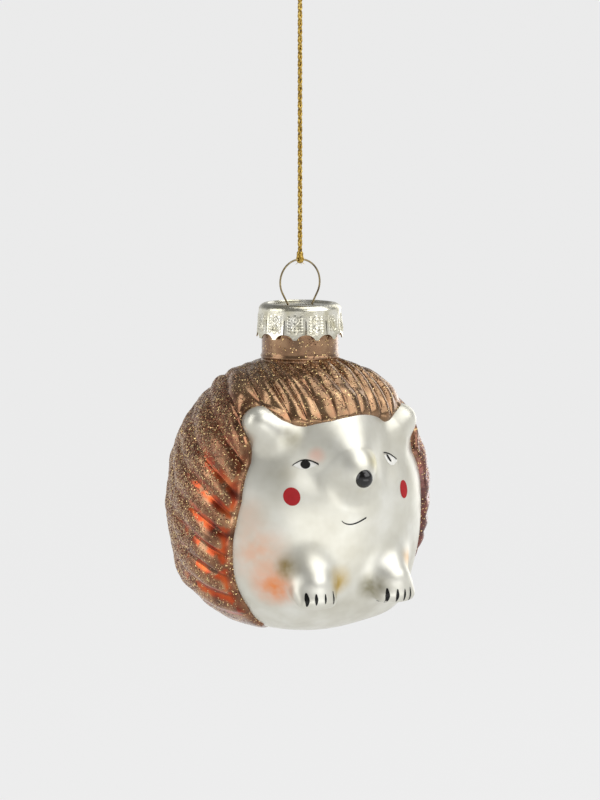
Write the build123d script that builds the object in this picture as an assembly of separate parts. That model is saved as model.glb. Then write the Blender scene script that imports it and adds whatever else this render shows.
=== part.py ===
from build123d import *
import math
import os

# A blown-glass hedgehog that hangs on a gold cord. Millimetres, +Z up, and the hedgehog looks along -Y.
# The origin is the point inside the top of the cord's eye, where a hook or a twig carries it.

# One overrun for every cut, and one gap between parts of the cord that move against each other
overrun = 1.0
cord_gap = 0.05

# Gold cord: its eye, its knot and the straight run down to the ring, drawn with flat sides
cord_diameter = 1.1
cord_sides = 8
eye_radius = 3.4
eye_drop = 9.0
knot_radius = 1.5
cord_run = 56.9

# Hitch that ties the cord to the wire: a short wrapping above, a bight of one strand round the wire
wrapping_height = 1.0
wrapping_diameter = 1.6
strand_diameter = 0.75
hitch_clearance = 0.12

# Springy wire: a ring above the cap, and two legs in the neck
wire_diameter = 0.42
wire_sides = 8
ring_radius = 5.0
ring_rise = 4.75
leg_spacing = 5.2
leg_kink_depth = 0.9
leg_spread = 12.0
leg_spread_depth = 9.6
leg_length = 18.5
slot_bend_radius = 0.8
spread_bend_radius = 4.0

# Stamped cap: recessed top with a slot, and a slit, scalloped skirt that flares a little
cap_rim_radius = 8.8
cap_flare = 0.6
cap_height = 7.3
cap_sheet = 0.25
cap_clearance = 0.25
recess_radius = 6.9
recess_depth = 0.5
rim_bevel = 0.2
slot_clearance = 0.4
slot_width = 1.1
panel_count = 12
panel_turn = 8.0
slit_width = 0.3
slit_height = 4.2
scallop_radius = 1.85
scallop_height = 1.3

# Glass neck
neck_rise = 11.2
neck_flare = 1.3
glass_wall = 0.9
seat_gap = 0.05

# Glass body at the level of the painted face, measured from the centre at its widest level.
# A higher fullness makes a profile squarer: the belly is fuller in front than behind.
half_width = 27.6
front_depth = 24.2
back_depth = 29.4
upper_height = 29.2
lower_height = 29.6
upper_front_fullness_share = 2.0
upper_back_fullness_share = 2.15
lower_front_fullness_share = 3.3
lower_side_fullness_share = 2.8
lower_back_fullness_share = 2.4
body_level_shares = [-0.985, -0.92, -0.8, -0.62, -0.38, -0.12, 0.14, 0.38, 0.6, 0.78, 0.9, 0.97]
body_facets = 44
hollow_facets = 22
reach_steps = 40

# Moulded coat of spines: ridges that fan out backwards from a point near the paws
coat_depth = 1.3
ridge_height = 0.9
fan_tilt = 32.0
brow_ridges = 10
brow_half_angle = 34.0
flank_ridges = 9
flank_end_angle = 130.0
belly_facets = 10
ridge_profile_shares = [0.0, 0.9, 0.9]
station_angles = [36, 56, 74, 92, 112, 134, 156, 173]
ridge_shares = [0.8, 1.0, 1.0, 1.0, 0.8, 0.5, 0.2, 0.0]

# Window in the coat that the face and belly look out of: shares of the half width and of the heights
window_shares = [
    (0.0, 0.61), (0.27, 0.59), (0.38, 0.555), (0.5, 0.6), (0.66, 0.73), (0.77, 0.65), (0.75, 0.4),
    (0.82, 0.0), (0.895, -0.43), (0.84, -0.67), (0.73, -0.79), (0.53, -0.92),
]
window_back_share = 0.22

# Snout, ears and forelegs. Places are shares of the half width, front depth and heights.
limb_end_angles = [0, 30, 60]
snout_root_shares = (0.0, -0.76, 0.14)
snout_root_radius = 7.2
nose_reach = 3.1
nose_height_share = 0.193
nose_radius = 2.0
ear_root_shares = (0.5, -0.58, 0.5)
ear_tip_shares = (0.64, -0.565, 0.545)
ear_radius = 3.3
elbow_shares = (0.4, -0.76, -0.47)
elbow_radius = 4.0
paw_shares = (0.37, -0.925, -0.61)
paw_radius = 4.5


# Levels, from the origin down
cord_radius = cord_diameter / 2
wire_radius = wire_diameter / 2
strand_radius = strand_diameter / 2
eye_z = cord_radius - eye_radius
knot_z = eye_z - eye_drop
cord_top_z = knot_z - knot_radius - cord_gap
cord_bottom_z = cord_top_z - cord_run
hitch_top_z = cord_bottom_z - cord_gap
bight_radius = wire_radius + hitch_clearance + strand_radius
wire_top_z = hitch_top_z - wrapping_height - bight_radius
ring_z = wire_top_z - ring_radius
cap_top_z = ring_z - ring_rise
neck_top_z = cap_top_z - recess_depth - cap_sheet - seat_gap
shoulder_z = neck_top_z - neck_rise
body_z = shoulder_z - upper_height

# Radii that follow from the cap
neck_radius = cap_rim_radius - cap_sheet - cap_clearance
bore_radius = neck_radius - glass_wall


def path_tube(path, radius, sides):
    """A tube with flat sides along a path of lines and arcs."""
    section = Plane(origin=path @ 0, z_dir=path % 0) * RegularPolygon(radius, sides)
    return sweep(section, path=path)


def make_hanging_eye():
    """The doubled end of the cord, a teardrop that a hook goes through."""
    side = cord_radius + cord_gap
    reach = math.hypot(side, eye_drop)
    turn = math.acos(eye_radius / reach) + math.atan2(side, eye_drop)
    touch_x = eye_radius * math.sin(turn)
    touch_z = eye_z - eye_radius * math.cos(turn)
    left_leg = Line((-side, 0, knot_z), (-touch_x, 0, touch_z))
    crown = ThreePointArc((-touch_x, 0, touch_z), (0, 0, eye_z + eye_radius), (touch_x, 0, touch_z))
    right_leg = Line((touch_x, 0, touch_z), (side, 0, knot_z))
    path = Wire([left_leg.edge(), crown.edge(), right_leg.edge()])
    return path_tube(path, cord_radius, cord_sides) - make_cord_knot()


def make_cord_knot():
    """A round knot, drawn as rings with flat sides."""
    rings = []
    for ring in range(cord_sides):
        turn = math.pi * (ring + 0.5) / cord_sides
        plane = Plane.XY.offset(knot_z + knot_radius * math.cos(turn))
        rings.append((plane * RegularPolygon(knot_radius * math.sin(turn), cord_sides)).wire())
    return Solid.make_loft(rings, True)


def make_hanging_cord():
    """The straight run that the ornament's weight pulls tight."""
    path = Wire([Edge.make_line((0, 0, cord_top_z), (0, 0, cord_bottom_z))])
    return path_tube(path, cord_radius, cord_sides)


def make_cord_hitch():
    """A wrapping on the cord's end, and the bight that goes round the wire."""
    across = Plane(origin=(0, 0, wire_top_z + bight_radius), x_dir=(1, 0, 0), z_dir=(0, 1, 0))
    strand = across * RegularPolygon(strand_radius, cord_sides)
    bight = revolve(strand, axis=Axis((0, 0, wire_top_z), (1, 0, 0)))
    wrapping = Plane.XY.offset(hitch_top_z) * RegularPolygon(wrapping_diameter / 2, cord_sides)
    return bight + extrude(wrapping, wire_top_z + bight_radius - hitch_top_z)


def make_wire_loop():
    """One wire: a ring, two bends where it enters the cap, and two legs that spread in the neck."""
    kink = Vector(leg_spacing / 2, 0, cap_top_z - leg_kink_depth)
    reach = math.hypot(kink.X, ring_z - kink.Z)
    turn = math.acos(ring_radius / reach) + math.atan2(kink.X, ring_z - kink.Z)
    touch = Vector(ring_radius * math.sin(turn), 0, ring_z - ring_radius * math.cos(turn))
    spread = Vector(leg_spread / 2, 0, kink.Z - leg_spread_depth)
    foot = Vector(leg_spread / 2, 0, kink.Z - leg_length)
    legs = []
    for side in (1, -1):
        points = [Vector(point.X * side, 0, point.Z) for point in (touch, kink, spread, foot)]
        legs.append(FilletPolyline(*points, radius=[slot_bend_radius, spread_bend_radius]))
    crown = ThreePointArc((-touch.X, 0, touch.Z), (0, 0, ring_z + ring_radius), (touch.X, 0, touch.Z))
    path = Wire(legs[0].edges() + [crown.edge()] + legs[1].edges())
    return path_tube(path, wire_radius, wire_sides)


def make_cap():
    """A stamped cup with its rim standing round a recessed top, cut into panels below."""
    rim_outer = cap_rim_radius
    foot_outer = cap_rim_radius + cap_flare
    top = cap_top_z
    floor = cap_top_z - recess_depth
    foot = cap_top_z - cap_height
    outline = Polyline(
        (0, floor),
        (recess_radius, floor),
        (recess_radius, top - rim_bevel),
        (recess_radius + rim_bevel, top),
        (rim_outer - rim_bevel, top),
        (rim_outer, top - rim_bevel),
        (foot_outer, foot),
        (foot_outer - cap_sheet, foot),
        (rim_outer - cap_sheet, floor - cap_sheet),
        (0, floor - cap_sheet),
        close=True,
    )
    cup = revolve(Plane.XZ * make_face(outline), axis=Axis.Z)

    slot_length = leg_spacing + wire_diameter + 2 * slot_clearance
    slot = Pos(0, 0, floor) * Box(slot_length, slot_width, 2 * (cap_sheet + overrun))
    cup = cup - slot

    for panel in range(panel_count):
        turn = Rot(0, 0, panel_turn + panel * 360 / panel_count)
        slit = Box(foot_outer, slit_width, slit_height, align=(Align.MIN, Align.CENTER, Align.MIN))
        scallop = Cylinder(scallop_radius, foot_outer, align=(Align.CENTER, Align.CENTER, Align.MIN))
        bite = Pos(0, 0, foot + scallop_height - scallop_radius) * Rot(0, 90, 0) * scallop
        cup = cup - turn * Pos(0, 0, foot) * slit - turn * bite
    return cup


def level_share(z, top, bottom, upper_fullness, lower_fullness):
    """How wide the body is at a height, as a share of its width at the widest level."""
    if z >= 0:
        return (1 - min(z / top, 1.0) ** upper_fullness) ** (1 / upper_fullness)
    return (1 - min(z / -bottom, 1.0) ** lower_fullness) ** (1 / lower_fullness)


def body_reach(z, inset=0.0, gain=0.0):
    """Half width, front depth and back depth at a height, drawn in all round by an inset.

    The gain puts the back that much further out again, and the sides by half of it.
    """
    top = upper_height - inset
    bottom = lower_height - inset
    side = level_share(z, top, bottom, upper_front_fullness_share, lower_side_fullness_share)
    front = level_share(z, top, bottom, upper_front_fullness_share, lower_front_fullness_share)
    back = level_share(z, top, bottom, upper_back_fullness_share, lower_back_fullness_share)
    return (
        (half_width + gain / 2 - inset) * side,
        (front_depth - inset) * front,
        (back_depth + gain - inset) * back,
    )


def ring_skin(rings):
    """A closed solid of flat triangles over flat rings that all have the same number of points."""
    faces = [Face(Wire.make_polygon(ring, close=True)) for ring in (rings[0], rings[-1])]
    for near_ring, far_ring in zip(rings, rings[1:]):
        for i in range(len(near_ring)):
            corner, far_corner = near_ring[i - 1], far_ring[i]
            faces.append(Face(Wire.make_polygon([corner, near_ring[i], far_corner], close=True)))
            faces.append(Face(Wire.make_polygon([corner, far_corner, far_ring[i - 1]], close=True)))
    return Solid(Shell(faces))


def body_form(inset, gain, facets):
    """The blown body, drawn in all round by an inset, with its back put out by a gain."""
    rings = []
    for share in body_level_shares:
        z = share * ((upper_height if share > 0 else lower_height) - inset)
        across, front, back = body_reach(z, inset, gain)
        ring = []
        for facet in range(facets):
            turn = 2 * math.pi * (facet + 0.5) / facets
            depth = back if math.sin(turn) > 0 else front
            ring.append(Vector(across * math.cos(turn), depth * math.sin(turn), body_z + z))
        rings.append(ring)
    return ring_skin(rings)


def surface_reach(start, direction):
    """How far a ray goes from a point inside the smooth body to its surface, by halving."""
    near = 0.0
    far = half_width + back_depth
    for _ in range(reach_steps):
        middle = (near + far) / 2
        point = start + direction * middle
        inside = -lower_height < point.Z < upper_height
        if inside:
            across, front, back = body_reach(point.Z)
            inside = math.hypot(point.X / across, point.Y / (front if point.Y < 0 else back)) < 1
        if inside:
            near = middle
        else:
            far = middle
    return near


def ridge_outline():
    """Pairs of angle and relief once round the fan's axis: brow, one flank, smooth belly, other flank."""
    brow_step = 2 * brow_half_angle / brow_ridges
    flank_step = (flank_end_angle - brow_half_angle) / flank_ridges
    belly_step = 2 * (180 - flank_end_angle) / belly_facets
    steps = [(brow_step, ridge_profile_shares)] * brow_ridges
    steps += [(flank_step, ridge_profile_shares)] * flank_ridges
    steps += [(belly_step, [0.0])] * belly_facets
    steps += [(flank_step, ridge_profile_shares)] * flank_ridges
    outline = []
    turn = -brow_half_angle
    for step, profile in steps:
        outline += [(turn + step * i / len(profile), relief) for i, relief in enumerate(profile)]
        turn += step
    return outline


def coat_form():
    """The coat as a skin over rings square to the fan's axis, with a crest and a groove for each ridge."""
    tilt = math.radians(fan_tilt)
    axis = Vector(0, -math.cos(tilt), -math.sin(tilt))
    upward = Vector(0, -math.sin(tilt), math.cos(tilt))
    sideways = Vector(1, 0, 0)
    centre = Vector(0, 0, body_z)
    rings = []
    for angle, share in zip(station_angles, ridge_shares):
        along = math.cos(math.radians(angle))
        across = math.sin(math.radians(angle))
        pole = surface_reach(Vector(0, 0, 0), axis * math.copysign(1, along))
        heart = axis * (along * pole)

        def on_coat(turn, relief):
            direction = upward * math.cos(math.radians(turn)) + sideways * math.sin(math.radians(turn))
            reach = surface_reach(heart, direction) + coat_depth * across + relief * ridge_height * share
            return centre + heart + axis * (along * coat_depth) + direction * reach

        rings.append([on_coat(turn, relief) for turn, relief in ridge_outline()])
    return ring_skin(rings)


def face_window():
    """A prism through the front of the coat, with the outline of the face and belly."""
    right = [
        (x * half_width, z * (upper_height if z > 0 else lower_height)) for x, z in window_shares
    ]
    right.append((right[-1][0], -lower_height - coat_depth - ridge_height - overrun))
    left = [(-x, z) for x, z in reversed(right[1:])]
    outline = Polyline(*right, *left, close=True)
    back_y = -window_back_share * front_depth
    depth = front_depth + back_y + coat_depth + ridge_height + overrun
    plane = Plane(origin=(0, back_y, body_z), x_dir=(1, 0, 0), z_dir=(0, -1, 0))
    return extrude(plane * make_face(outline), depth)


def on_body(shares, side=1):
    """A point given as shares of the half width, front depth and height, on one side of the middle."""
    x, y, z = shares
    return Vector(
        side * x * half_width, y * front_depth, body_z + z * (upper_height if z > 0 else lower_height)
    )


def rounded_limb(start, end, start_radius, end_radius):
    """A tapering limb with a rounded end."""
    line = end - start
    outline = [(0, 0), (start_radius, 0)]
    for angle in limb_end_angles:
        turn = math.radians(angle)
        outline.append((end_radius * math.cos(turn), line.length + end_radius * math.sin(turn)))
    outline.append((0, line.length + end_radius))
    limb = revolve(Plane.XZ * make_face(Polyline(*outline, close=True)), axis=Axis.Z)
    return Plane(origin=start, z_dir=line).location * limb


def make_glass_body():
    """One blown shell: coat, face, neck, snout, ears and paws outside, and a smooth hollow inside."""
    body = coat_form() - face_window()
    body = body + body_form(0, 0, body_facets)

    flare = neck_radius + neck_flare
    neck_outline = Polyline(
        (0, shoulder_z - neck_flare),
        (flare, shoulder_z - neck_flare),
        (flare, shoulder_z),
        (neck_radius + neck_flare / 4, shoulder_z + neck_flare / 4),
        (neck_radius, shoulder_z + neck_flare),
        (neck_radius, neck_top_z),
        (0, neck_top_z),
        close=True,
    )
    body = body + revolve(Plane.XZ * make_face(neck_outline), axis=Axis.Z)

    nose = Vector(0, -front_depth - nose_reach, body_z + nose_height_share * upper_height)
    root = on_body(snout_root_shares)
    body = body + rounded_limb(root, nose, snout_root_radius, nose_radius)
    for side in (1, -1):
        ear_root = on_body(ear_root_shares, side)
        body = body + rounded_limb(ear_root, on_body(ear_tip_shares, side), ear_radius, ear_radius)
        elbow = on_body(elbow_shares, side)
        body = body + rounded_limb(elbow, on_body(paw_shares, side), elbow_radius, paw_radius)

    bore_depth = neck_top_z - body_z
    bore = Pos(0, 0, neck_top_z + overrun) * Cylinder(
        bore_radius, bore_depth, align=(Align.CENTER, Align.CENTER, Align.MAX)
    )
    return body - body_form(glass_wall, coat_depth, hollow_facets) - bore


pieces = {
    "hanging_eye": make_hanging_eye(),
    "cord_knot": make_cord_knot(),
    "hanging_cord": make_hanging_cord(),
    "cord_hitch": make_cord_hitch(),
    "wire_loop": make_wire_loop(),
    "cap": make_cap(),
    "glass_body": make_glass_body(),
}

os.makedirs("parts", exist_ok=True)
for name, piece in pieces.items():
    export_step(piece, f"parts/{name}.step")
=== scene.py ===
import math
import bpy
import numpy as np
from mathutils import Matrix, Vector


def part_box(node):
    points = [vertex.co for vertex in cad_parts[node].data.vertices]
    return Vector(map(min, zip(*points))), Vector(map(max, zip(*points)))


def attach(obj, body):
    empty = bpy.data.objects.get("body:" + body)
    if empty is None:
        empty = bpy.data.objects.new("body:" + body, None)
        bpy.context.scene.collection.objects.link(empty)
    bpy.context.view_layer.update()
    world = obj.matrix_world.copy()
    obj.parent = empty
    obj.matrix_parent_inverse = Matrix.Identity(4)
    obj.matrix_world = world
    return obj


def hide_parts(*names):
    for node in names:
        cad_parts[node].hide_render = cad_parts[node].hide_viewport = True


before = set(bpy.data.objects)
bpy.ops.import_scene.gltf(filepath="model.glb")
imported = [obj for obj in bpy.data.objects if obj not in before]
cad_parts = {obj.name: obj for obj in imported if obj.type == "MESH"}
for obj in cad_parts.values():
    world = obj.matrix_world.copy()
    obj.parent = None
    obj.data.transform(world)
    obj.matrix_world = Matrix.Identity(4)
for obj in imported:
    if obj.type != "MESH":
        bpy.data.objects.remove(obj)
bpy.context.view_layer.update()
bpy.ops.object.select_all(action="DESELECT")

# Camera
# It looks at the hedgehog's right front from a little above, where the photograph was taken.
# A long lens at 0.9 m keeps the flat perspective of a catalogue picture.
mm = 0.001
neck_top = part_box("glass_body")[1].z
neck_rise = 11.2 * mm
upper_height = 29.2
body_centre = Vector((0, 0, neck_top - neck_rise - upper_height * mm))
camera_distance = 0.9
picture_height = 176 * mm
aim = body_centre + Vector((0, 0, 19.9 * mm))


def outward(azimuth, elevation):
    """The direction out from the ornament at an angle round it and above it, in degrees."""
    turn, rise = math.radians(azimuth), math.radians(elevation)
    return Vector((math.sin(turn) * math.cos(rise), -math.cos(turn) * math.cos(rise), math.sin(rise)))


backward = outward(-30, 6.5)
bpy.ops.object.camera_add(location=aim + backward * camera_distance)
camera = bpy.context.object
camera.rotation_mode = "QUATERNION"
camera.rotation_quaternion = (-backward).to_track_quat("-Z", "Y")
camera.data.sensor_width = 36
camera.data.lens = camera.data.sensor_width * camera_distance / picture_height
camera.data.clip_start = 0.01
camera.data.clip_end = 100
bpy.context.scene.camera = camera

# Hanging cord
# Metallic gold thread, braided from two pairs of strands, pulled straight by the ornament's weight.
# It is tied to the wire ring below, and ends above in a knot and an eye for the hook or twig.
cord_diameter = 1.1 * mm
cord_route = [(0, 0, -0.0134), (0, 0, -0.0637), (0, 0, -0.0703)]
braid_pitch = 3.6 * mm
steps_per_pitch = 22


def select_only(piece):
    """Makes one piece the selected and active one, for Blender's own commands."""
    bpy.ops.object.select_all(action="DESELECT")
    piece.select_set(True)
    bpy.context.view_layer.objects.active = piece


def nurbs_line(points):
    """The points of a smooth line that follows a route."""
    curve = bpy.data.curves.new("route", "CURVE")
    curve.dimensions = "3D"
    curve.resolution_u = 24
    spline = curve.splines.new("NURBS")
    spline.points.add(len(points) - 1)
    for point, place in zip(spline.points, points):
        point.co = (*place, 1)
    spline.order_u = 3
    spline.use_endpoint_u = True
    bare = bpy.data.objects.new("route", curve)
    mesh = bpy.data.meshes.new_from_object(bare)
    line = np.array([vertex.co for vertex in mesh.vertices])
    bpy.data.objects.remove(bare)
    bpy.data.curves.remove(curve)
    bpy.data.meshes.remove(mesh)
    return line


def tubes(name, lines, radius, closed=False, roundness=1):
    """Round strands along several lines, as one smooth mesh."""
    curve = bpy.data.curves.new(name, "CURVE")
    curve.dimensions = "3D"
    curve.bevel_depth = radius
    curve.bevel_resolution = roundness
    curve.use_fill_caps = not closed
    for line in lines:
        spline = curve.splines.new("POLY")
        spline.points.add(len(line) - 1)
        for point, place in zip(spline.points, line):
            point.co = (*place, 1)
        spline.use_cyclic_u = closed
    tube = bpy.data.objects.new(name, curve)
    bpy.context.scene.collection.objects.link(tube)
    select_only(tube)
    bpy.ops.object.convert(target="MESH")
    tube = bpy.context.object
    bpy.ops.object.shade_smooth()
    return tube


def spaced(line, step):
    """The same line with evenly spaced points."""
    lengths = np.concatenate([[0], np.cumsum(np.linalg.norm(np.diff(line, axis=0), axis=1))])
    places = np.linspace(0, lengths[-1], max(2, round(lengths[-1] / step) + 1))
    return places, np.stack([np.interp(places, lengths, line[:, axis]) for axis in range(3)], axis=1)


def braid(name, line, closed=False):
    """Two strands each way round a line, every one passing over and under by turns."""
    places, centres = spaced(np.asarray(line, float), braid_pitch / steps_per_pitch)
    ahead = np.gradient(centres, axis=0)
    ahead /= np.linalg.norm(ahead, axis=1)[:, None]
    side = np.cross(ahead, (0.0, 1.0, 0.0) if abs(ahead[0][1]) < 0.9 else (1.0, 0.0, 0.0))
    side /= np.linalg.norm(side, axis=1)[:, None]
    across = np.cross(ahead, side)
    pitch = places[-1] / round(places[-1] / braid_pitch)
    strands = []
    for way in (1, -1):
        for start in (0, math.pi):
            turn = way * 2 * math.pi * places / pitch + start
            reach = cord_diameter * (0.27 + way * 0.05 * np.cos(4 * math.pi * places / pitch))
            offset = side * np.cos(turn)[:, None] + across * np.sin(turn)[:, None]
            strand = centres + offset * reach[:, None]
            strands.append(strand[:-1] if closed else strand)
    return tubes(name, strands, cord_diameter * 0.2, closed)


def linear(code):
    """A colour written as a screen hex value, as the light values that a shader takes."""
    values = [int(code[start:start + 2], 16) / 255 for start in (1, 3, 5)]
    return [v / 12.92 if v <= 0.04045 else ((v + 0.055) / 1.055) ** 2.4 for v in values] + [1.0]


def put(tree, kind, inputs=None, stops=(), **settings):
    """Adds one shader node: its settings, its inputs, linked or set, and the stops of a colour ramp.

    A node given as an input is linked by its first output."""
    node = tree.nodes.new("ShaderNode" + kind)
    for setting, value in settings.items():
        setattr(node, setting, value)
    for socket, value in (inputs or {}).items():
        if isinstance(value, bpy.types.Node):
            value = value.outputs[0]
        if isinstance(value, bpy.types.NodeSocket):
            tree.links.new(value, node.inputs[socket])
        else:
            node.inputs[socket].default_value = value
    for index, (place, code) in enumerate(stops):
        elements = node.color_ramp.elements
        element = elements[index] if index < 2 else elements.new(1.0)
        element.position = place
        element.color = linear(code)
    return node


def new_material(name):
    """A node material with nothing in its tree, and the tree."""
    material = bpy.data.materials.new(name)
    material.use_nodes = True
    tree = material.node_tree
    tree.nodes.clear()
    return material, tree


def gold_thread():
    """Metallised polyester thread: bright yellow facets that glint, with darker patches of painted shade for
    the gaps between filaments.
    """
    material, tree = new_material("metallised_gold_thread")
    filament = 0.12 * mm
    place = put(tree, "TexCoord").outputs["Object"]
    tone_and_gap_shade = put(tree, "TexNoise", {"Vector": place, "Scale": 1 / (4 * filament), "Detail": 3.0})
    # The darker end of this tone is painted shade for the gaps between the filaments.
    tone = put(tree, "ValToRGB", {0: tone_and_gap_shade}, [(0.3, "#6E5420"), (0.5, "#B4923F"), (0.68, "#E2C873")])
    thread = put(tree, "TexNoise", {"Vector": place, "Scale": 1 / filament, "Detail": 1.0})
    bump = put(tree, "Bump", {"Height": thread, "Distance": 0.05 * mm, "Strength": 0.5})
    shader = put(tree, "BsdfPrincipled", {
        "Base Color": tone, "Metallic": 0.85, "Roughness": 0.34, "Normal": bump,
    })
    put(tree, "OutputMaterial", {"Surface": shader})
    return material


gold = gold_thread()
cord_line = nurbs_line(cord_route)
cord = braid("gold_cord", cord_line)
cord.data.materials.append(gold)
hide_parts("hanging_cord")
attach(cord, "cord")

# Eye and knot
# The cord's own upper end, doubled back into a teardrop and tied off in an overhand knot.
# The teardrop is what goes over a hook or a twig.
eye_low, eye_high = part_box("hanging_eye")
knot_low, knot_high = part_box("cord_knot")
knot_centre = (knot_low + knot_high) / 2
eye_radius = (eye_high.x - eye_low.x - cord_diameter) / 2
eye_centre_z = eye_high.z - cord_diameter / 2 - eye_radius
leg_gap = cord_diameter / 2
eye_drop = eye_centre_z - knot_centre.z
touch_turn = math.acos(eye_radius / eye_drop)
crown = [
    (eye_radius * math.sin(turn), 0, eye_centre_z + eye_radius * math.cos(turn))
    for turn in np.linspace(-math.pi + touch_turn, math.pi - touch_turn, 40)
]
eye_line = [(-leg_gap, 0, knot_centre.z), *crown, (leg_gap, 0, knot_centre.z)]
eye = braid("cord_eye", np.array(eye_line))
eye.data.materials.append(gold)
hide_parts("hanging_eye")
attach(eye, "hanger")

knot_reach = (knot_high.z - knot_low.z) / 2 - cord_diameter * 0.45
knot_line = [
    (
        knot_reach * (math.sin(turn) + 2 * math.sin(2 * turn)) / 3,
        knot_reach * (math.cos(turn) - 2 * math.cos(2 * turn)) / 3,
        knot_centre.z - knot_reach * 0.8 * math.sin(3 * turn),
    )
    for turn in np.linspace(0, 2 * math.pi, 90)
]
knot = braid("overhand_knot", np.array(knot_line), closed=True)
knot.data.materials.append(gold)
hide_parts("cord_knot")
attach(knot, "hanger")

# Hitch on the wire
# The cord's lower end goes round the wire and is whipped with its own thread, with a few frayed tips.
# It is brighter than the cord, because its turns lie square to the light.
wire_radius = 0.21 * mm
wire_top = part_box("wire_loop")[1].z - wire_radius
hitch_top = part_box("cord_hitch")[1].z
whip_radius = 0.58 * mm
whip_strand = 0.17 * mm
whip_turns = 5
whip_top = hitch_top - whip_strand
whip_bottom = wire_top + 0.55 * mm
whipping = [
    (
        whip_radius * math.cos(turn),
        whip_radius * math.sin(turn),
        whip_top + (whip_bottom - whip_top) * turn / (2 * math.pi * whip_turns),
    )
    for turn in np.linspace(0, 2 * math.pi * whip_turns, 20 * whip_turns)
]
bight_strand = 0.34 * mm
bight_turns = 2
bight_reach = wire_radius + bight_strand
bight = [
    (
        0.75 * mm * (turn / (2 * math.pi * bight_turns) - 0.5),
        bight_reach * math.sin(turn),
        wire_top + bight_reach * math.cos(turn),
    )
    for turn in np.linspace(0, 2 * math.pi * bight_turns, 24 * bight_turns)
]
rng = np.random.default_rng(5)
frays = []
for lean in np.linspace(-0.9, 0.9, 6):
    reach = rng.uniform(0.5, 0.9) * mm
    root = Vector((lean * 0.35 * mm, rng.uniform(-0.3, 0.3) * mm, wire_top - 0.5 * mm))
    tip = root + Vector((lean * reach, rng.uniform(-0.5, 0.2) * mm, -reach * 0.7))
    middle = (root + tip) / 2 + Vector((0, 0, -0.12 * mm))
    frays.append([root, middle, tip])
wrap = tubes("whipping", [whipping], whip_strand, roundness=2)
core_line = [(0, 0, hitch_top), (0, 0, wire_top + bight_reach * 0.6)]
core = tubes("cord_end", [core_line], whip_radius, roundness=3)
turns = tubes("bight", [bight], bight_strand, roundness=3)
tips = tubes("frayed_tips", frays, 0.045 * mm, roundness=0)
for part in (wrap, core, turns, tips):
    part.select_set(True)
bpy.context.view_layer.objects.active = wrap
bpy.ops.object.join()
hitch = bpy.context.object
hitch.name = "cord_whipping"
hitch.data.materials.append(gold)
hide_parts("cord_hitch")
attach(hitch, "hitch")

# Wire ring
# One piece of hard brass-plated wire: a ring above the cap, whose two ends squeeze through the slot.
# Inside the neck the ends spread and press outwards, and that holds the cap on.
ring_radius = 5.0 * mm
ring_centre_z = wire_top - ring_radius
cap_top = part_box("cap")[1].z
slot_x = 2.6 * mm
slot_z = cap_top - 0.9 * mm
spread_x = 6.0 * mm
spread_z = slot_z - 9.6 * mm
foot_z = slot_z - 18.5 * mm
slot_reach = math.hypot(slot_x, ring_centre_z - slot_z)
leave_turn = math.acos(ring_radius / slot_reach) + math.atan2(slot_x, ring_centre_z - slot_z)


def rounded(points, radius):
    """A line of straight runs with each corner drawn as a short smooth bend."""
    line = [Vector(points[0])]
    for before, corner, after in zip(points, points[1:], points[2:]):
        into = (Vector(corner) - Vector(before)).normalized()
        away = (Vector(after) - Vector(corner)).normalized()
        start = Vector(corner) - into * radius
        end = Vector(corner) + away * radius
        for share in np.linspace(0, 1, 9):
            line.append(start.lerp(Vector(corner), share).lerp(Vector(corner).lerp(end, share), share))
    line.append(Vector(points[-1]))
    return line


right_leg = rounded([
    (ring_radius * math.sin(leave_turn), 0, ring_centre_z - ring_radius * math.cos(leave_turn)),
    (slot_x, 0, slot_z),
    (spread_x, 0, spread_z),
    (spread_x, 0, foot_z),
], 0.9 * mm)
ring = [
    (ring_radius * math.sin(turn), 0, ring_centre_z + ring_radius * math.cos(turn))
    for turn in np.linspace(leave_turn - math.pi, math.pi - leave_turn, 72)
]
left_leg = [Vector((-point.x, 0, point.z)) for point in reversed(right_leg)]
wire = tubes("wire_ring", [[*left_leg, *ring, *right_leg]], wire_radius, roundness=3)


def plated_wire():
    """Brass-plated spring steel, drawn smooth: dull gold with grey where the plating is thin."""
    material, tree = new_material("brass_plated_steel_wire")
    place = put(tree, "TexCoord").outputs["Object"]
    wear = put(tree, "TexNoise", {"Vector": place, "Scale": 1 / (1.6 * mm), "Detail": 4.0})
    tone = put(tree, "ValToRGB", {0: wear}, [(0.35, "#6E6354"), (0.55, "#9A8A66"), (0.7, "#C9B277")])
    rough = put(tree, "MapRange", {"Value": wear, "To Min": 0.22, "To Max": 0.42})
    shader = put(tree, "BsdfPrincipled", {"Base Color": tone, "Metallic": 1.0, "Roughness": rough})
    put(tree, "OutputMaterial", {"Surface": shader})
    return material


wire.data.materials.append(plated_wire())
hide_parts("wire_loop")
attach(wire, "loop")

# Cap
# A cup stamped from thin aluminium: a rolled rim round a recessed top, and a skirt slit into panels.
# Each panel carries a pressed lattice, and its foot is punched into a scallop and flares a little.
cap_rim_radius = 8.8 * mm
cap_flare = 0.6 * mm
cap_height = 7.3 * mm
cap_sheet = 0.25 * mm
recess_radius = 6.9 * mm
recess_depth = 0.5 * mm
rim_round = 0.35 * mm
shoulder_round = 0.9 * mm
panel_count = 12
slit_width = 0.16 * mm
slit_height = 4.2 * mm
scallop_radius = 2.1 * mm
scallop_height = 1.15 * mm
first_slit = math.radians(8)
panel_columns = 30
skirt_rows = 44


def sheet_grid(name, columns, rows):
    """A flat grid to be shaped, with the column and row of each of its points."""
    bpy.ops.mesh.primitive_grid_add(x_subdivisions=columns, y_subdivisions=rows, size=2)
    grid = bpy.context.object
    grid.name = name
    flat = np.empty(len(grid.data.vertices) * 3)
    grid.data.vertices.foreach_get("co", flat)
    flat = flat.reshape(-1, 3)
    column = np.rint((flat[:, 0] + 1) / 2 * columns).astype(int)
    row = np.rint((flat[:, 1] + 1) / 2 * rows).astype(int)
    return grid, column, row


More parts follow.
